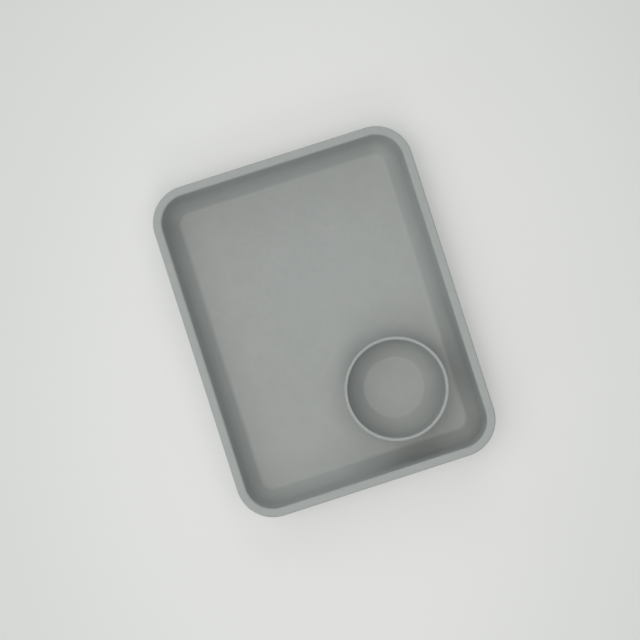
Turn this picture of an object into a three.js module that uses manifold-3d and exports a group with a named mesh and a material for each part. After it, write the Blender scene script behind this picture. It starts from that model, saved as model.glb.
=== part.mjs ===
import * as THREE from 'three';
import { mergeVertices } from 'three/addons/utils/BufferGeometryUtils.js';
import Module from 'manifold-3d';

// Key tray: a flared tray with round corners and a broad flat rim, on four soft feet,
// and a round cup that stands in a shallow seat in the tray's floor and lifts out.
// Millimetres, +Z up. X is the short side and Y the long side.
// The origin is on the table, under the tray's middle.

// Driving dimensions of the tray
const TRAY_WIDTH = 180; // outside the rim, along X
const TRAY_LENGTH = 230; // outside the rim, along Y
const TRAY_HEIGHT = 36.5; // underside to rim
const CORNER_RADIUS = 25; // outside the rim, seen from above
const LEAST_CORNER_RADIUS = 2; // where the corner has shrunk towards the floor
const RIM_WIDTH = 6;
const RIM_OUTER_ROUND = 1.2;
const RIM_INNER_ROUND = 1.6;
const FLOOR_THICKNESS = 4;
const FLOOR_FILLET = 4; // between wall and floor, inside
const UNDERSIDE_ROUND = 14; // between wall and underside, outside
const WALL_DRAFT = THREE.MathUtils.degToRad(8); // upper part of the wall, inside and outside
const WALL_FOOT_SLOPE = THREE.MathUtils.degToRad(43); // from upright, at the foot of the curved lower part
const WALL_STRAIGHT_SHARE = 0.42; // share of the depth that is straight wall

// Driving dimensions of the feet
const FOOT_DIAMETER = 12;
const FOOT_STANDOFF = 1.5; // table to the tray's underside
const FOOT_RECESS_DEPTH = 1;
const FOOT_GLUE_LINE = 0.3; // between the foot's back and the bottom of its recess
const FOOT_SIDE_GAP = 0.3; // round the foot in its recess
const FOOT_EDGE_ROUND = 0.7;
const FOOT_INSET = 34; // from the rim's outside to the foot's middle

// Driving dimensions of the cup
const CUP_DIAMETER = 70; // outside the rim
const CUP_WALL = 2.1; // the same in the cup's floor
const CUP_EDGE_ROUND = 0.45; // either side of the flat top edge
const CUP_FILLET = 3; // between wall and floor, inside
const CUP_DRAFT = THREE.MathUtils.degToRad(5); // upper part of the wall
const CUP_FOOT_SLOPE = THREE.MathUtils.degToRad(55); // from upright, at the foot of the curved lower part
const CUP_STRAIGHT_SHARE = 0.35; // share of the depth that is straight wall
const CUP_SIDE_INSET = 58; // from the tray's right side to the cup's middle
const CUP_FRONT_INSET = 57.5; // from the tray's front to the cup's middle
const CUP_RING_WIDTH = 3.5; // foot ring under the cup
const CUP_RING_INSET = 0.5; // from the edge of the flat underside to the ring
const CUP_SEAT_DEPTH = 1;
const CUP_SEAT_GAP = 0.4; // round the ring in its seat
const CUP_UNDERSIDE_GAP = 0.3; // between the tray's floor and the cup's underside

// Facet counts
const CORNER_STEPS = 6; // pairs of facets on a corner
const PROFILE_STEPS = 3; // pairs of facets on a rounded edge
const CUP_FACETS = 60;
const FOOT_FACETS = 24;
const LEAST_FACET = 0.01; // points nearer than this are one point

// Heights and places that follow from the dimensions
const UNDERSIDE_Z = FOOT_STANDOFF;
const FLOOR_Z = UNDERSIDE_Z + FLOOR_THICKNESS;
const RIM_Z = UNDERSIDE_Z + TRAY_HEIGHT;
const CUP_SEAT_Z = FLOOR_Z - CUP_SEAT_DEPTH;
const CUP_X = TRAY_WIDTH / 2 - CUP_SIDE_INSET;
const CUP_Y = CUP_FRONT_INSET - TRAY_LENGTH / 2;
const FOOT_X = TRAY_WIDTH / 2 - FOOT_INSET;
const FOOT_Y = TRAY_LENGTH / 2 - FOOT_INSET;

const UP = Math.PI / 2;
const BACK = Math.PI;
const DOWN = Math.PI * 1.5;

const wasm = await Module();
wasm.setup();

// A closed geometry as a solid that can be cut
function toSolid(geometry) {
  const bare = geometry.clone();
  bare.deleteAttribute('normal');
  bare.deleteAttribute('uv');
  const welded = mergeVertices(bare);
  return new wasm.Manifold(
    new wasm.Mesh({
      numProp: 3,
      vertProperties: welded.attributes.position.array,
      triVerts: Uint32Array.from(welded.index.array),
    }),
  );
}

function toGeometry(solid) {
  const mesh = solid.getMesh();
  const geometry = new THREE.BufferGeometry();
  geometry.setAttribute('position', new THREE.BufferAttribute(mesh.vertProperties, mesh.numProp));
  geometry.setIndex(new THREE.BufferAttribute(mesh.triVerts, 1));
  geometry.computeVertexNormals();
  return geometry;
}

// An upright cylinder from its lower to its upper height
function uprightCylinder(x, y, radius, lowZ, highZ, facets) {
  const geometry = new THREE.CylinderGeometry(radius, radius, highZ - lowZ, facets);
  geometry.rotateX(Math.PI / 2);
  geometry.translate(x, y, (lowZ + highZ) / 2);
  return geometry;
}

// A profile's points, without those that fall on the one before
function profilePoints(profile) {
  const points = profile.getPoints(PROFILE_STEPS);
  return points.filter((point, at) => at === 0 || point.distanceTo(points[at - 1]) > LEAST_FACET);
}

// A profile of radius and height turned about the Z axis
function turned(profile, facets) {
  return new THREE.LatheGeometry(profilePoints(profile), facets).rotateX(Math.PI / 2);
}

// The curved lower part of a wall: its radius, and how far it runs sideways over a given drop
function wallBend(drop, startSlope, footSlope) {
  const radius = drop / (Math.sin(footSlope) - Math.sin(startSlope));
  const run = radius * (Math.cos(startSlope) - Math.cos(footSlope));
  return { radius, run };
}

// The tray's outline at a given inset from the rim's outside
function trayOutline(inset) {
  const radius = Math.max(CORNER_RADIUS - inset, LEAST_CORNER_RADIUS);
  const x = TRAY_WIDTH / 2 - inset - radius;
  const y = TRAY_LENGTH / 2 - inset - radius;
  const outline = new THREE.Path();
  outline.absarc(x, y, radius, 0, UP);
  outline.absarc(-x, y, radius, UP, BACK);
  outline.absarc(-x, -y, radius, BACK, DOWN);
  outline.absarc(x, -y, radius, DOWN, Math.PI * 2);
  return outline.getPoints(CORNER_STEPS);
}

// The tray's section from the underside's edge, round the rim, to the floor's edge, as inset and height
function trayProfile() {
  const outerWallTop = RIM_Z - RIM_OUTER_ROUND;
  const outerWallFoot = UNDERSIDE_Z + UNDERSIDE_ROUND * (1 - Math.sin(WALL_DRAFT));
  const outerRun = Math.tan(WALL_DRAFT) * (outerWallTop - outerWallFoot);
  const undersideInset = outerRun + UNDERSIDE_ROUND * Math.cos(WALL_DRAFT);
  const undersideEdgeZ = UNDERSIDE_Z + UNDERSIDE_ROUND;

  const innerWallTop = new THREE.Vector2(
    RIM_WIDTH - RIM_INNER_ROUND * (1 - Math.cos(WALL_DRAFT)),
    RIM_Z - RIM_INNER_ROUND * (1 - Math.sin(WALL_DRAFT)),
  );
  const straightDrop = WALL_STRAIGHT_SHARE * (RIM_Z - FLOOR_Z);
  const bendTop = new THREE.Vector2(
    innerWallTop.x + Math.tan(WALL_DRAFT) * straightDrop,
    innerWallTop.y - straightDrop,
  );
  const bendFootZ = FLOOR_Z + FLOOR_FILLET * (1 - Math.sin(WALL_FOOT_SLOPE));
  const bend = wallBend(bendTop.y - bendFootZ, WALL_DRAFT, WALL_FOOT_SLOPE);
  const bendCentreInset = bendTop.x + bend.radius * Math.cos(WALL_DRAFT);
  const bendCentreZ = bendTop.y + bend.radius * Math.sin(WALL_DRAFT);
  const floorInset = bendTop.x + bend.run + FLOOR_FILLET * Math.cos(WALL_FOOT_SLOPE);

  const profile = new THREE.Path();
  profile.absarc(undersideInset, undersideEdgeZ, UNDERSIDE_ROUND, DOWN, BACK + WALL_DRAFT, true);
  profile.absarc(RIM_OUTER_ROUND, outerWallTop, RIM_OUTER_ROUND, BACK, UP, true);
  profile.absarc(RIM_WIDTH - RIM_INNER_ROUND, RIM_Z - RIM_INNER_ROUND, RIM_INNER_ROUND, UP, WALL_DRAFT, true);
  profile.absarc(bendCentreInset, bendCentreZ, bend.radius, BACK + WALL_DRAFT, BACK + WALL_FOOT_SLOPE);
  profile.absarc(floorInset, FLOOR_Z + FLOOR_FILLET, FLOOR_FILLET, BACK + WALL_FOOT_SLOPE, DOWN);
  return profilePoints(profile);
}

// The tray's outlines joined in a skin, with the underside and the floor as flat caps
function trayBlank() {
  const profile = trayProfile();
  const outlines = profile.map((point) => trayOutline(point.x));
  const count = outlines[0].length;
  const positions = [];
  outlines.forEach((outline, ring) => {
    outline.forEach((point) => positions.push(point.x, point.y, profile[ring].y));
  });

  const triangles = [];
  for (let ring = 0; ring < outlines.length - 1; ring += 1) {
    for (let step = 0; step < count; step += 1) {
      const here = ring * count + step;
      const next = ring * count + ((step + 1) % count);
      triangles.push(here, next, next + count);
      triangles.push(here, next + count, here + count);
    }
  }
  const floorStart = (outlines.length - 1) * count;
  for (const [a, b, c] of THREE.ShapeUtils.triangulateShape(outlines[0], [])) {
    triangles.push(a, c, b);
    triangles.push(floorStart + a, floorStart + b, floorStart + c);
  }

  const geometry = new THREE.BufferGeometry();
  geometry.setAttribute('position', new THREE.Float32BufferAttribute(positions, 3));
  geometry.setIndex(triangles);
  return geometry;
}

// The cup's section at its own axis, as radius and height over the seat
function cupSection() {
  const topZ = RIM_Z - CUP_SEAT_Z;
  const undersideZ = CUP_SEAT_DEPTH + CUP_UNDERSIDE_GAP;
  const floorZ = undersideZ + CUP_WALL;
  const edgeZ = topZ - CUP_EDGE_ROUND;
  const outerEdgeX = CUP_DIAMETER / 2 - CUP_EDGE_ROUND;
  const innerEdgeX = outerEdgeX - (CUP_WALL - 2 * CUP_EDGE_ROUND) / Math.cos(CUP_DRAFT);

  const straightDrop = CUP_STRAIGHT_SHARE * (topZ - floorZ);
  const bendTop = new THREE.Vector2(
    innerEdgeX - CUP_EDGE_ROUND * Math.cos(CUP_DRAFT) - Math.tan(CUP_DRAFT) * straightDrop,
    edgeZ + CUP_EDGE_ROUND * Math.sin(CUP_DRAFT) - straightDrop,
  );
  const bendFootZ = floorZ + CUP_FILLET * (1 - Math.sin(CUP_FOOT_SLOPE));
  const bend = wallBend(bendTop.y - bendFootZ, CUP_DRAFT, CUP_FOOT_SLOPE);
  const bendCentreX = bendTop.x - bend.radius * Math.cos(CUP_DRAFT);
  const bendCentreZ = bendTop.y + bend.radius * Math.sin(CUP_DRAFT);
  const floorRadius = bendTop.x - bend.run - CUP_FILLET * Math.cos(CUP_FOOT_SLOPE);
  const filletZ = floorZ + CUP_FILLET;
  const ringRadius = floorRadius - CUP_RING_INSET;

  const profile = new THREE.Path();
  profile.moveTo(0, undersideZ);
  profile.lineTo(ringRadius - CUP_RING_WIDTH, undersideZ);
  profile.lineTo(ringRadius - CUP_RING_WIDTH, 0);
  profile.lineTo(ringRadius, 0);
  profile.lineTo(ringRadius, undersideZ);
  profile.absarc(floorRadius, filletZ, CUP_FILLET + CUP_WALL, -UP, -CUP_FOOT_SLOPE);
  profile.absarc(bendCentreX, bendCentreZ, bend.radius + CUP_WALL, -CUP_FOOT_SLOPE, -CUP_DRAFT);
  profile.absarc(outerEdgeX, edgeZ, CUP_EDGE_ROUND, -CUP_DRAFT, UP);
  profile.absarc(innerEdgeX, edgeZ, CUP_EDGE_ROUND, UP, BACK - CUP_DRAFT);
  profile.absarc(bendCentreX, bendCentreZ, bend.radius, -CUP_DRAFT, -CUP_FOOT_SLOPE, true);
  profile.absarc(floorRadius, filletZ, CUP_FILLET, -CUP_FOOT_SLOPE, -UP, true);
  profile.lineTo(0, floorZ);
  return { profile, ringRadius };
}

// A foot's section at its own axis, as radius and height over the table
function footProfile() {
  const radius = FOOT_DIAMETER / 2;
  const height = FOOT_STANDOFF + FOOT_RECESS_DEPTH - FOOT_GLUE_LINE;
  const profile = new THREE.Path();
  profile.moveTo(0, 0);
  profile.lineTo(radius - FOOT_EDGE_ROUND, 0);
  profile.absarc(radius - FOOT_EDGE_ROUND, FOOT_EDGE_ROUND, FOOT_EDGE_ROUND, -UP, 0);
  profile.lineTo(radius, height);
  profile.lineTo(0, height);
  return profile;
}

const FOOT_PLACES = [
  ['foot_front_left', -FOOT_X, -FOOT_Y],
  ['foot_front_right', FOOT_X, -FOOT_Y],
  ['foot_rear_left', -FOOT_X, FOOT_Y],
  ['foot_rear_right', FOOT_X, FOOT_Y],
];

const { profile: cupProfile, ringRadius: cupRingRadius } = cupSection();

function trayGeometry() {
  let solid = toSolid(trayBlank());
  const seatRadius = cupRingRadius + CUP_SEAT_GAP;
  const seat = uprightCylinder(CUP_X, CUP_Y, seatRadius, CUP_SEAT_Z, FLOOR_Z + CUP_SEAT_DEPTH, CUP_FACETS);
  solid = solid.subtract(toSolid(seat));
  const recessRadius = FOOT_DIAMETER / 2 + FOOT_SIDE_GAP;
  const recessLow = UNDERSIDE_Z - FOOT_RECESS_DEPTH;
  const recessHigh = UNDERSIDE_Z + FOOT_RECESS_DEPTH;
  for (const [, x, y] of FOOT_PLACES) {
    const recess = uprightCylinder(x, y, recessRadius, recessLow, recessHigh, FOOT_FACETS);
    solid = solid.subtract(toSolid(recess));
  }
  return toGeometry(solid);
}

const trayPlastic = new THREE.MeshStandardMaterial({ color: 0xa2a6a3, roughness: 0.72, metalness: 0 });
const cupPlastic = new THREE.MeshStandardMaterial({ color: 0xa0a4a1, roughness: 0.7, metalness: 0 });
const footRubber = new THREE.MeshStandardMaterial({ color: 0x4a4c4c, roughness: 0.9, metalness: 0 });

function namedMesh(name, geometry, material) {
  const mesh = new THREE.Mesh(geometry, material);
  mesh.name = name;
  return mesh;
}

const keyTray = new THREE.Group();
keyTray.add(namedMesh('tray', trayGeometry(), trayPlastic));

for (const [name, x, y] of FOOT_PLACES) {
  const foot = namedMesh(name, turned(footProfile(), FOOT_FACETS), footRubber);
  foot.position.set(x, y, 0);
  keyTray.add(foot);
}

const cup = namedMesh('cup', turned(cupProfile, CUP_FACETS), cupPlastic);
cup.position.set(CUP_X, CUP_Y, CUP_SEAT_Z);
keyTray.add(cup);

export default keyTray;
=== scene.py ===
import math

import bmesh
import bpy
from mathutils import Matrix, Vector


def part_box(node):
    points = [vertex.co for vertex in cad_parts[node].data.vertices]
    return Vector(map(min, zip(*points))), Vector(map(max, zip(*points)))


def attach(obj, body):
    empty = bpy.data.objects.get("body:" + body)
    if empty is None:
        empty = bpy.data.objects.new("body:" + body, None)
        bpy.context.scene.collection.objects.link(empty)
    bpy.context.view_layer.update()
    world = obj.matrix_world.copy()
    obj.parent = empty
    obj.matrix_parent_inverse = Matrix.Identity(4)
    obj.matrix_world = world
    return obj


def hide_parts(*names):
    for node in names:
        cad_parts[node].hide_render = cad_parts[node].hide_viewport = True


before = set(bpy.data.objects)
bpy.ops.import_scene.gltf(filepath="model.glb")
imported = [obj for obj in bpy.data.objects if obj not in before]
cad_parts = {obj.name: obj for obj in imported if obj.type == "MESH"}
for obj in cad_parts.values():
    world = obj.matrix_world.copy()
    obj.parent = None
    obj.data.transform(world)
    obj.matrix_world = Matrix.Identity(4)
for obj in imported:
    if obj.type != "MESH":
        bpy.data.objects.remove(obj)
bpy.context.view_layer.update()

MM = 0.001
QUARTER = math.pi / 2

# Sizes of the tray, the same as in the part's source
tray_low, tray_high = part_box("tray")
TRAY_WIDTH = tray_high.x - tray_low.x
TRAY_LENGTH = tray_high.y - tray_low.y
UNDERSIDE_Z = tray_low.z
RIM_Z = tray_high.z
CORNER_RADIUS = 25 * MM
LEAST_CORNER_RADIUS = 2 * MM
RIM_WIDTH = 6 * MM
RIM_OUTER_ROUND = 1.2 * MM
RIM_INNER_ROUND = 1.6 * MM
FLOOR_THICKNESS = 4 * MM
FLOOR_Z = UNDERSIDE_Z + FLOOR_THICKNESS
FLOOR_FILLET = 4 * MM
UNDERSIDE_ROUND = 14 * MM
WALL_DRAFT = math.radians(8)
WALL_FOOT_SLOPE = math.radians(43)
WALL_STRAIGHT_SHARE = 0.42

# Sizes of the cup and its seat
CUP_DIAMETER = 70 * MM
CUP_WALL = 2.1 * MM
CUP_EDGE_ROUND = 0.45 * MM
CUP_FILLET = 3 * MM
CUP_DRAFT = math.radians(5)
CUP_FOOT_SLOPE = math.radians(55)
CUP_STRAIGHT_SHARE = 0.35
CUP_SIDE_INSET = 58 * MM
CUP_FRONT_INSET = 57.5 * MM
CUP_X = TRAY_WIDTH / 2 - CUP_SIDE_INSET
CUP_Y = CUP_FRONT_INSET - TRAY_LENGTH / 2
CUP_RING_WIDTH = 3.5 * MM
CUP_RING_INSET = 0.5 * MM
CUP_SEAT_DEPTH = 1 * MM
CUP_SEAT_GAP = 0.4 * MM
CUP_UNDERSIDE_GAP = 0.3 * MM
CUP_SEAT_Z = FLOOR_Z - CUP_SEAT_DEPTH

# Sizes of the feet
FOOT_DIAMETER = 12 * MM
FOOT_RECESS_DEPTH = 1 * MM
FOOT_GLUE_LINE = 0.3 * MM
FOOT_SIDE_GAP = 0.3 * MM
FOOT_EDGE_ROUND = 0.7 * MM
FOOT_NAMES = ("front_left", "front_right", "rear_left", "rear_right")

# Fine edges that the moulds leave, and how finely curves are drawn
SMALL_ROUND = 0.3 * MM
SUPPORT = 0.25 * MM
LEAST_STRAIGHT = 3 * SUPPORT
SAME_POINT = SUPPORT / 100
CORNER_STEPS = 30
LONG_ARC_STEPS = 18
EDGE_ARC_STEPS = 10
SMALL_ARC_STEPS = 4
CUP_SEGMENTS = 160
FOOT_SEGMENTS = 56


# Drawing of sections

def arc(centre, radius, start, stop, steps):
    """Points along an arc, both ends included."""
    points = []
    for step in range(steps + 1):
        angle = start + (stop - start) * step / steps
        points.append((centre[0] + radius * math.cos(angle), centre[1] + radius * math.sin(angle)))
    return points


def joined(*runs):
    """Runs of points in one line, with a point close to each end of the straight stretches between them."""
    line = list(runs[0])
    for run in runs[1:]:
        start, stop = Vector(line[-1]), Vector(run[0])
        length = (stop - start).length
        if length > LEAST_STRAIGHT:
            along = (stop - start) * (SUPPORT / length)
            line += [tuple(start + along), tuple(stop - along)]
        if length < SAME_POINT:
            run = run[1:]
        line += run
    return line


def wall_bend(drop, start_slope, foot_slope):
    """Radius and sideways run of a wall's curved lower part over a given drop."""
    radius = drop / (math.sin(foot_slope) - math.sin(start_slope))
    return radius, radius * (math.cos(start_slope) - math.cos(foot_slope))


def tray_section():
    """The tray's section from its underside, round the rim, to its floor, as inset and height."""
    outer_top = RIM_Z - RIM_OUTER_ROUND
    outer_foot = UNDERSIDE_Z + UNDERSIDE_ROUND * (1 - math.sin(WALL_DRAFT))
    outer_run = math.tan(WALL_DRAFT) * (outer_top - outer_foot)
    underside_inset = outer_run + UNDERSIDE_ROUND * math.cos(WALL_DRAFT)

    straight_drop = WALL_STRAIGHT_SHARE * (RIM_Z - FLOOR_Z)
    wall_top_x = RIM_WIDTH - RIM_INNER_ROUND * (1 - math.cos(WALL_DRAFT))
    bend_x = wall_top_x + math.tan(WALL_DRAFT) * straight_drop
    bend_z = RIM_Z - RIM_INNER_ROUND * (1 - math.sin(WALL_DRAFT)) - straight_drop
    bend_foot_z = FLOOR_Z + FLOOR_FILLET * (1 - math.sin(WALL_FOOT_SLOPE))
    radius, run = wall_bend(bend_z - bend_foot_z, WALL_DRAFT, WALL_FOOT_SLOPE)
    bend_centre = (bend_x + radius * math.cos(WALL_DRAFT), bend_z + radius * math.sin(WALL_DRAFT))
    floor_inset = bend_x + run + FLOOR_FILLET * math.cos(WALL_FOOT_SLOPE)

    underside = (underside_inset, UNDERSIDE_Z + UNDERSIDE_ROUND)
    inner_edge = (RIM_WIDTH - RIM_INNER_ROUND, RIM_Z - RIM_INNER_ROUND)
    floor_edge = (floor_inset, FLOOR_Z + FLOOR_FILLET)
    back = math.pi
    return joined(
        arc(underside, UNDERSIDE_ROUND, 3 * QUARTER, back + WALL_DRAFT, LONG_ARC_STEPS),
        arc((RIM_OUTER_ROUND, outer_top), RIM_OUTER_ROUND, back, QUARTER, EDGE_ARC_STEPS),
        arc(inner_edge, RIM_INNER_ROUND, QUARTER, WALL_DRAFT, EDGE_ARC_STEPS),
        arc(bend_centre, radius, back + WALL_DRAFT, back + WALL_FOOT_SLOPE, LONG_ARC_STEPS),
        arc(floor_edge, FLOOR_FILLET, back + WALL_FOOT_SLOPE, 3 * QUARTER, EDGE_ARC_STEPS),
    )


def cup_section():
    """The cup's section from its underside, round its edge, to its floor, and the foot ring's radius."""
    underside_z = FLOOR_Z + CUP_UNDERSIDE_GAP
    floor_z = underside_z + CUP_WALL
    edge_z = RIM_Z - CUP_EDGE_ROUND
    outer_edge = (CUP_DIAMETER / 2 - CUP_EDGE_ROUND, edge_z)
    inner_edge = (outer_edge[0] - (CUP_WALL - 2 * CUP_EDGE_ROUND) / math.cos(CUP_DRAFT), edge_z)

    straight_drop = CUP_STRAIGHT_SHARE * (RIM_Z - floor_z)
    wall_top_x = inner_edge[0] - CUP_EDGE_ROUND * math.cos(CUP_DRAFT)
    bend_x = wall_top_x - math.tan(CUP_DRAFT) * straight_drop
    bend_z = edge_z + CUP_EDGE_ROUND * math.sin(CUP_DRAFT) - straight_drop
    bend_foot_z = floor_z + CUP_FILLET * (1 - math.sin(CUP_FOOT_SLOPE))
    radius, run = wall_bend(bend_z - bend_foot_z, CUP_DRAFT, CUP_FOOT_SLOPE)
    bend_centre = (bend_x - radius * math.cos(CUP_DRAFT), bend_z + radius * math.sin(CUP_DRAFT))
    floor_radius = bend_x - run - CUP_FILLET * math.cos(CUP_FOOT_SLOPE)
    fillet = (floor_radius, floor_z + CUP_FILLET)
    ring_outer = floor_radius - CUP_RING_INSET
    ring_inner = ring_outer - CUP_RING_WIDTH
    ring_edge_z = CUP_SEAT_Z + SMALL_ROUND
    ring_root_z = underside_z - SMALL_ROUND

    section = joined(
        arc((ring_inner - SMALL_ROUND, ring_root_z), SMALL_ROUND, QUARTER, 0, SMALL_ARC_STEPS),
        arc((ring_inner + SMALL_ROUND, ring_edge_z), SMALL_ROUND, math.pi, 3 * QUARTER, SMALL_ARC_STEPS),
        arc((ring_outer - SMALL_ROUND, ring_edge_z), SMALL_ROUND, -QUARTER, 0, SMALL_ARC_STEPS),
        arc((ring_outer + SMALL_ROUND, ring_root_z), SMALL_ROUND, math.pi, QUARTER, SMALL_ARC_STEPS),
        arc(fillet, CUP_FILLET + CUP_WALL, -QUARTER, -CUP_FOOT_SLOPE, EDGE_ARC_STEPS),
        arc(bend_centre, radius + CUP_WALL, -CUP_FOOT_SLOPE, -CUP_DRAFT, LONG_ARC_STEPS),
        arc(outer_edge, CUP_EDGE_ROUND, -CUP_DRAFT, QUARTER, EDGE_ARC_STEPS),
        arc(inner_edge, CUP_EDGE_ROUND, QUARTER, math.pi - CUP_DRAFT, EDGE_ARC_STEPS),
        arc(bend_centre, radius, -CUP_DRAFT, -CUP_FOOT_SLOPE, LONG_ARC_STEPS),
        arc(fillet, CUP_FILLET, -CUP_FOOT_SLOPE, -QUARTER, EDGE_ARC_STEPS),
    )
    return section, ring_outer


def rounded_rectangle(inset, z):
    """The tray's outline at an inset from the rim's outside, counter-clockwise from above."""
    radius = max(CORNER_RADIUS - inset, LEAST_CORNER_RADIUS)
    x = TRAY_WIDTH / 2 - inset - radius
    y = TRAY_LENGTH / 2 - inset - radius
    corners = []
    for corner, (side_x, side_y) in enumerate(((1, 1), (-1, 1), (-1, -1), (1, -1))):
        start = corner * QUARTER
        corners.append(arc((side_x * x, side_y * y), radius, start, start + QUARTER, CORNER_STEPS))
    outline = joined(*corners, [corners[0][0]])[:-1]
    return [(px, py, z) for px, py in outline]


def circle(centre, radius, z, segments):
    """A ring of points, counter-clockwise from above."""
    return [(px, py, z) for px, py in arc(centre, radius, 0, 2 * math.pi, segments)[:-1]]


# Building of meshes

def loft(bm, rings):
    """Joins rings of points with smooth quads and gives back the rings' vertices."""
    loops = [[bm.verts.new(point) for point in ring] for ring in rings]
    count = len(loops[0])
    for near, far in zip(loops, loops[1:]):
        for step in range(count):
            after = (step + 1) % count
            bm.faces.new((near[step], near[after], far[after], far[step])).smooth = True
    return loops


def loop_edges(bm, loop):
    """The edges round a closed loop of vertices."""
    return [bm.edges.get((loop[k - 1], loop[k])) for k in range(len(loop))]


def flat_fill(bm, loops):
    """Fills the flat face between an outer loop and the holes in it."""
    edges = [edge for loop in loops for edge in loop_edges(bm, loop)]
    filled = bmesh.ops.triangle_fill(bm, use_beauty=True, edges=edges)
    for part in filled["geom"]:
        if isinstance(part, bmesh.types.BMFace):
            part.smooth = False


def round_recess(bm, centre, radius, face_z, depth, segments):
    """A shallow round recess with softened edges; gives back the loop at the face it is cut in."""
    way = math.copysign(1, depth)
    edge_z = face_z - way * SMALL_ROUND
    rings = []
    for step in range(SMALL_ARC_STEPS + 1):
        turn = QUARTER * step / SMALL_ARC_STEPS
        edge_radius = radius + SMALL_ROUND * (1 - math.sin(turn))
        rings.append(circle(centre, edge_radius, edge_z + way * SMALL_ROUND * math.cos(turn), segments))
    rings.append(circle(centre, radius, face_z - depth, segments))
    loops = loft(bm, rings)
    bm.faces.new(loops[-1]).smooth = False
    return loops[0]


def finished(bm, name):
    """Turns a bmesh into an object of the scene with its faces outward."""
    bmesh.ops.recalc_face_normals(bm, faces=bm.faces)
    mesh = bpy.data.meshes.new(name)
    bm.to_mesh(mesh)
    bm.free()
    piece = bpy.data.objects.new(name, mesh)
    bpy.context.scene.collection.objects.link(piece)
    return piece


def turned(name, section, centre, segments):
    """A closed piece turned about an upright axis, with flat faces at its two ends."""
    bm = bmesh.new()
    loops = loft(bm, [circle(centre, radius, z, segments) for radius, z in section])
    bm.faces.new(loops[0]).smooth = False
    bm.faces.new(loops[-1]).smooth = False
    return finished(bm, name)


def foot_centre(place):
    """The middle of a foot's node, seen from above."""
    low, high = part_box("foot_" + place)
    return (low.x + high.x) / 2, (low.y + high.y) / 2


cup_line, ring_radius = cup_section()


def make_tray():
    """The tray with the cup's seat in its floor and the feet's recesses in its underside."""
    bm = bmesh.new()
    loops = loft(bm, [rounded_rectangle(inset, z) for inset, z in tray_section()])
    seat_radius = ring_radius + CUP_SEAT_GAP
    seat = round_recess(bm, (CUP_X, CUP_Y), seat_radius, FLOOR_Z, CUP_SEAT_DEPTH, CUP_SEGMENTS)
    flat_fill(bm, [loops[-1], seat])
    recess_radius = FOOT_DIAMETER / 2 + FOOT_SIDE_GAP
    underside = [loops[0]]
    for place in FOOT_NAMES:
        centre = foot_centre(place)
        recess = round_recess(bm, centre, recess_radius, UNDERSIDE_Z, -FOOT_RECESS_DEPTH, FOOT_SEGMENTS)
        underside.append(recess)
    flat_fill(bm, underside)
    return finished(bm, "tray_moulding")


def make_cup():
    """The cup in its seat."""
    return turned("cup_moulding", cup_line, (CUP_X, CUP_Y), CUP_SEGMENTS)


def make_foot(place):
    """A round pad with a soft lower edge, up to the glue line in its recess."""
    radius = FOOT_DIAMETER / 2
    height = UNDERSIDE_Z + FOOT_RECESS_DEPTH - FOOT_GLUE_LINE
    section = joined(
        arc((radius - FOOT_EDGE_ROUND, FOOT_EDGE_ROUND), FOOT_EDGE_ROUND, -QUARTER, 0, EDGE_ARC_STEPS),
        arc((radius - SMALL_ROUND, height - SMALL_ROUND), SMALL_ROUND, 0, QUARTER, SMALL_ARC_STEPS),
    )
    return turned("foot_pad_" + place, section, foot_centre(place), FOOT_SEGMENTS)


# Nodes of materials

# The stretch of a noise's values that is spread over a range
NOISE_LOW = 0.3
NOISE_HIGH = 0.7


def material_nodes(name):
    """A new material and its empty node tree."""
    material = bpy.data.materials.new(name)
    material.use_nodes = True
    tree = material.node_tree
    tree.nodes.clear()
    return material, tree


def noise(tree, scale, detail, roughness=0.5):
    """Noise in the piece's own coordinates; its scale is in features a metre."""
    place = tree.nodes.new("ShaderNodeTexCoord")
    texture = tree.nodes.new("ShaderNodeTexNoise")
    texture.inputs["Scale"].default_value = scale
    texture.inputs["Detail"].default_value = detail
    texture.inputs["Roughness"].default_value = roughness
    tree.links.new(place.outputs["Object"], texture.inputs["Vector"])
    return texture.outputs["Fac"]


def ranged(tree, value, start, stop, low, high):
    """A node that takes a value from one range to another, in a straight line."""
    node = tree.nodes.new("ShaderNodeMapRange")
    node.inputs["From Min"].default_value = start
    node.inputs["From Max"].default_value = stop
    node.inputs["To Min"].default_value = low
    node.inputs["To Max"].default_value = high
    tree.links.new(value, node.inputs["Value"])
    return node


def spread(tree, value, low, high):
    """Spreads the middle of a noise over a range of values."""
    return ranged(tree, value, NOISE_LOW, NOISE_HIGH, low, high).outputs["Result"]


def between(tree, value, start, stop, low=0, high=1):
    """Low where a value is at the start of a range, high where it is at its stop, and smooth between."""
    node = ranged(tree, value, start, stop, low, high)
    node.interpolation_type = "SMOOTHSTEP"
    return node.outputs["Result"]


def upright(tree, vector):
    """The upright part of a place or a direction."""
    node = tree.nodes.new("ShaderNodeSeparateXYZ")
    tree.links.new(vector, node.inputs["Vector"])
    return node.outputs["Z"]


def combined(tree, operation, first, second):
    """Two values put together by a named operation."""
    node = tree.nodes.new("ShaderNodeMath")
    node.operation = operation
    tree.links.new(first, node.inputs[0])
    tree.links.new(second, node.inputs[1])
    return node.outputs["Value"]


def changed(tree, value, mask, amount):
    """A value that is higher by an amount where the mask is full."""
    node = tree.nodes.new("ShaderNodeMath")
    node.operation = "MULTIPLY_ADD"
    tree.links.new(mask, node.inputs[0])
    node.inputs[1].default_value = amount
    tree.links.new(value, node.inputs[2])
    return node.outputs["Value"]


def mixed(tree, factor, first, second):
    """A colour between two colours; the first may come from another node."""
    node = tree.nodes.new("ShaderNodeMix")
    node.data_type = "RGBA"
    tree.links.new(factor, node.inputs["Factor"])
    if isinstance(first, tuple):
        node.inputs["A"].default_value = (*first, 1)
    else:
        tree.links.new(first, node.inputs["A"])
    node.inputs["B"].default_value = (*second, 1)
    return node.outputs["Result"]


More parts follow.
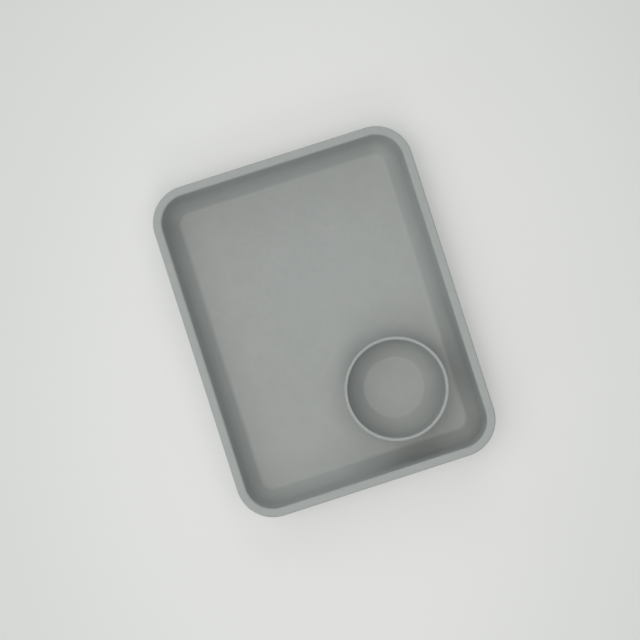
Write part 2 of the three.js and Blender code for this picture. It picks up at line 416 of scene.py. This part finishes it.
def blended(tree, factor, first, second):
    """A shader between two shaders."""
    node = tree.nodes.new("ShaderNodeMixShader")
    tree.links.new(factor, node.inputs["Fac"])
    tree.links.new(first, node.inputs[1])
    tree.links.new(second, node.inputs[2])
    return node.outputs["Shader"]


def scaled(colour, factor):
    """A colour made paler or darker."""
    return tuple(part * factor for part in colour)


# The moulded materials

# Noises as features a metre, detail and, for the clouds, roughness
CLOUD_NOISE = (55, 6, 0.62)
MATTE_NOISE = (240, 2)
RUB_NOISE = (140, 3)
GRAIN_DETAIL = 1

# Wear on edges: the upright part of the surface's normal where wear starts and where it is full
FLAT_NORMAL = 0.985
ROUND_NORMAL = 0.8
LEAST_RUB = 0.25
WORN_PALER = 1.07
WORN_SMOOTHER = -0.12

# Unevenness as size and depth
PLASTIC_GRAIN = (0.6 * MM, 0.09 * MM)
RUBBER_GRAIN = (0.3 * MM, 0.03 * MM)
WAVES = (11 * MM, 0.02 * MM)

# Heights from which and up to which an edge is rubbed
RIM_WEAR = (RIM_Z - 2 * MM, RIM_Z - 0.2 * MM)
FOOT_WEAR = (1 * MM, 0.1 * MM)

TRAY_COLOUR = (0.362, 0.38, 0.366)
CUP_COLOUR = (0.355, 0.372, 0.358)
FOOT_COLOUR = (0.07, 0.073, 0.073)
PLASTIC_MOTTLE = 0.02
RUBBER_MOTTLE = 0.08
TRAY_ROUGHNESS = (0.56, 0.7)
CUP_ROUGHNESS = (0.54, 0.68)
FOOT_ROUGHNESS = (0.8, 0.92)


def worn_edge(tree, start_z, edge_z):
    """Where hands or the table rub a rounded edge, in patches."""
    place = tree.nodes.new("ShaderNodeTexCoord")
    surface = tree.nodes.new("ShaderNodeNewGeometry")
    close = between(tree, upright(tree, place.outputs["Object"]), start_z, edge_z)
    turning = between(tree, upright(tree, surface.outputs["Normal"]), FLAT_NORMAL, ROUND_NORMAL)
    patches = spread(tree, noise(tree, *RUB_NOISE), LEAST_RUB, 1)
    return combined(tree, "MULTIPLY", combined(tree, "MULTIPLY", close, turning), patches)


def bumped(tree, size, depth, under=None):
    """Fine unevenness of one size and depth, over another one where there is one."""
    node = tree.nodes.new("ShaderNodeBump")
    node.inputs["Strength"].default_value = 1
    node.inputs["Distance"].default_value = depth
    tree.links.new(noise(tree, 1 / size, GRAIN_DETAIL), node.inputs["Height"])
    if under:
        tree.links.new(under, node.inputs["Normal"])
    return node.outputs["Normal"]


def moulded(name, colour, mottle, roughness, grain, worn_heights):
    """A moulded surface: faint mottling, a fine matte grain, very slight waviness and rubbed edges."""
    material, tree = material_nodes(name)
    shader = tree.nodes.new("ShaderNodeBsdfPrincipled")
    output = tree.nodes.new("ShaderNodeOutputMaterial")
    tree.links.new(shader.outputs["BSDF"], output.inputs["Surface"])
    worn = worn_edge(tree, *worn_heights)
    cloud = spread(tree, noise(tree, *CLOUD_NOISE), 0, 1)
    tint = mixed(tree, cloud, scaled(colour, 1 - mottle), scaled(colour, 1 + mottle))
    tree.links.new(mixed(tree, worn, tint, scaled(colour, WORN_PALER)), shader.inputs["Base Color"])
    matte = spread(tree, noise(tree, *MATTE_NOISE), *roughness)
    tree.links.new(changed(tree, matte, worn, WORN_SMOOTHER), shader.inputs["Roughness"])
    tree.links.new(bumped(tree, *WAVES, bumped(tree, *grain)), shader.inputs["Normal"])
    return material


tray_plastic = moulded("tray_plastic", TRAY_COLOUR, PLASTIC_MOTTLE, TRAY_ROUGHNESS, PLASTIC_GRAIN, RIM_WEAR)
cup_plastic = moulded("cup_plastic", CUP_COLOUR, PLASTIC_MOTTLE, CUP_ROUGHNESS, PLASTIC_GRAIN, RIM_WEAR)
foot_rubber = moulded("foot_rubber", FOOT_COLOUR, RUBBER_MOTTLE, FOOT_ROUGHNESS, RUBBER_GRAIN, FOOT_WEAR)


# The pieces, each in the place of its node

def placed(piece, material, body, node):
    """Gives a piece its material and its body, and puts it in the place of a node."""
    piece.data.materials.append(material)
    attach(piece, body)
    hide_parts(node)


placed(make_tray(), tray_plastic, "tray_body", "tray")
placed(make_cup(), cup_plastic, "cup_body", "cup")
for foot_place in FOOT_NAMES:
    placed(make_foot(foot_place), foot_rubber, "tray_body", "foot_" + foot_place)


# The picture's directions on the table

PICTURE_TURN = math.radians(-17.8)
RIGHT = Vector((math.cos(PICTURE_TURN), math.sin(PICTURE_TURN), 0))
UPWARD = Vector((-math.sin(PICTURE_TURN), math.cos(PICTURE_TURN), 0))
OVERHEAD = Vector((0, 0, 1))


# The pale paper under the tray. It is partly lit and partly a painted glow, brightest near the tray, that
# lightens the tray's shadow; far away it gives way to the backdrop

PAPER_SIZE = 30
PAPER_COLOUR = (0.802, 0.808, 0.79)
# A glow is painted on the paper for the camera. It is a painted pool of light, brightest round the tray,
# and it also lightens the tray's shadow. Its share of what the camera sees grows to all of it far away.
PAINTED_GLOW_SHARE = 0.25
MIDDLE_PAINTED_GLOW = (0.937, 0.926, 0.884)
EDGE_PAINTED_GLOW = (0.434, 0.463, 0.394)
PAINTED_GLOW_CENTRE = RIGHT * 0.014 + UPWARD * -0.027
PAINTED_GLOW_START = 0.05
PAINTED_GLOW_STOP = 0.35
PAINTED_GLOW_STRETCH = 1.45
BACKDROP_COLOUR = (0.59, 0.6, 0.585)
BACKDROP_START = 0.3
BACKDROP_STOP = 0.8


def seen_directly(tree):
    """All for rays from the camera or by way of a reflection or glass, and nothing for other rays."""
    path = tree.nodes.new("ShaderNodeLightPath")
    total = path.outputs["Is Camera Ray"]
    for kind in ("Is Glossy Ray", "Is Transmission Ray"):
        total = combined(tree, "MAXIMUM", total, path.outputs[kind])
    return total


def make_floor():
    """A wide sheet with a painted glow for the camera. The glow is brightest near the tray, reaches farther
    up and down the picture than across it, and lightens the tray's shadow.
    """
    bm = bmesh.new()
    bmesh.ops.create_grid(bm, x_segments=1, y_segments=1, size=PAPER_SIZE / 2)
    floor = finished(bm, "floor")
    floor.location = PAINTED_GLOW_CENTRE
    floor.rotation_euler.z = PICTURE_TURN
    floor.scale.y = PAINTED_GLOW_STRETCH
    material, tree = material_nodes("floor_paper_painted_glow")
    paper = tree.nodes.new("ShaderNodeBsdfDiffuse")
    paper.inputs["Color"].default_value = (*PAPER_COLOUR, 1)
    place = tree.nodes.new("ShaderNodeTexCoord")
    reach = tree.nodes.new("ShaderNodeVectorMath")
    reach.operation = "LENGTH"
    tree.links.new(place.outputs["Object"], reach.inputs[0])
    distance = reach.outputs["Value"]
    # Painted light: the glow is brightest round the tray and fades outwards. It is a painted pool of light
    # that also lightens the tray's shadow.
    glow_falloff = between(tree, distance, PAINTED_GLOW_START, PAINTED_GLOW_STOP)
    far = between(tree, distance, BACKDROP_START, BACKDROP_STOP)
    tint = mixed(tree, glow_falloff, MIDDLE_PAINTED_GLOW, EDGE_PAINTED_GLOW)
    painted_glow = tree.nodes.new("ShaderNodeEmission")
    tree.links.new(mixed(tree, far, tint, BACKDROP_COLOUR), painted_glow.inputs["Color"])
    glow_share = between(tree, distance, BACKDROP_START, BACKDROP_STOP, PAINTED_GLOW_SHARE, 1)
    share = combined(tree, "MULTIPLY", seen_directly(tree), glow_share)
    sheet = blended(tree, share, paper.outputs["BSDF"], painted_glow.outputs["Emission"])
    output = tree.nodes.new("ShaderNodeOutputMaterial")
    tree.links.new(sheet, output.inputs["Surface"])
    floor.data.materials.append(material)


make_floor()


# The soft lights round the tray, and the cool fill that comes from all sides

WARM = (1, 0.95, 0.91)
COOL = (0.82, 0.94, 1)
# Name, direction in the picture (0 right, 90 top), height, spread, distance, strength and colour
LIGHTS = (
    ("over_right", 0, 76, 20, 2.5, 0.28, WARM),
    ("over_left", 180, 76, 20, 2.5, 0.28, WARM),
    ("over_bottom", 270, 76, 20, 2, 0.32, WARM),
    ("left", 180, 64, 40, 2.5, 0.62, WARM),
    ("bottom", 270, 52, 24, 2, 0.3, WARM),
    ("top", 90, 40, 40, 6, 0.46, WARM),
    ("top_left_low", 135, 18, 30, 2.5, 0.28, COOL),
    ("bottom_left_low", 225, 18, 30, 2.5, 0.25, COOL),
)
FILL_COLOUR = (0.8, 0.905, 1)
FILL_STRENGTH = 0.32


def make_light(name, direction, height, angle, distance, strength, colour):
    """A round soft box that faces the tray; its strength is the light that falls square on the tray."""
    lamp = bpy.data.lights.new(name, "AREA")
    lamp.shape = "DISK"
    lamp.size = 2 * distance * math.tan(math.radians(angle / 2))
    lamp.energy = strength * math.pi * distance ** 2
    lamp.color = colour
    light = bpy.data.objects.new(name, lamp)
    light.visible_camera = False
    bpy.context.scene.collection.objects.link(light)
    turn, lift = math.radians(direction), math.radians(height)
    level = RIGHT * math.cos(turn) + UPWARD * math.sin(turn)
    source = level * math.cos(lift) + OVERHEAD * math.sin(lift)
    light.rotation_euler = source.to_track_quat("Z", "Y").to_euler()
    light.location = source * distance


for light_row in LIGHTS:
    make_light(*light_row)


def make_world():
    """The fill as light, and the backdrop where it is seen."""
    world = bpy.data.worlds.new("studio")
    world.use_nodes = True
    tree = world.node_tree
    tree.nodes.clear()
    fill = tree.nodes.new("ShaderNodeBackground")
    fill.inputs["Color"].default_value = (*FILL_COLOUR, 1)
    fill.inputs["Strength"].default_value = FILL_STRENGTH
    backdrop = tree.nodes.new("ShaderNodeBackground")
    backdrop.inputs["Color"].default_value = (*BACKDROP_COLOUR, 1)
    studio = blended(tree, seen_directly(tree), fill.outputs["Background"], backdrop.outputs["Background"])
    output = tree.nodes.new("ShaderNodeOutputWorld")
    tree.links.new(studio, output.inputs["Surface"])
    bpy.context.scene.world = world


make_world()


# The camera, almost straight above the tray

PICTURE_SIZE = 640
PIXELS_PER_METRE = 1500
TRAY_PIXEL = (324.7, 321.5)
SENSOR = 36
CAMERA_HEIGHT = 1.3
CAMERA_ASIDE = -0.034
NEAREST_SEEN = 0.01
FARTHEST_SEEN = 4 * PAPER_SIZE


def make_camera():
    """A camera that shows the rim at the picture's scale, with the tray's middle at its pixel."""
    lens = bpy.data.cameras.new("camera")
    lens.sensor_width = SENSOR
    lens.lens = SENSOR * CAMERA_HEIGHT / (PICTURE_SIZE / PIXELS_PER_METRE)
    lens.clip_start = NEAREST_SEEN
    lens.clip_end = FARTHEST_SEEN
    camera = bpy.data.objects.new("camera", lens)
    bpy.context.scene.collection.objects.link(camera)
    middle = PICTURE_SIZE / 2
    aim = RIGHT * ((middle - TRAY_PIXEL[0]) / PIXELS_PER_METRE)
    aim -= UPWARD * ((middle - TRAY_PIXEL[1]) / PIXELS_PER_METRE)
    aim += OVERHEAD * RIM_Z
    place = aim + RIGHT * CAMERA_ASIDE + OVERHEAD * CAMERA_HEIGHT
    back = (place - aim).normalized()
    side = UPWARD.cross(back).normalized()
    over = back.cross(side)
    turn = Matrix((side, over, back)).transposed().to_4x4()
    camera.matrix_world = Matrix.Translation(place) @ turn
    bpy.context.scene.camera = camera


make_camera()
bpy.context.scene.view_settings.view_transform = "Standard"
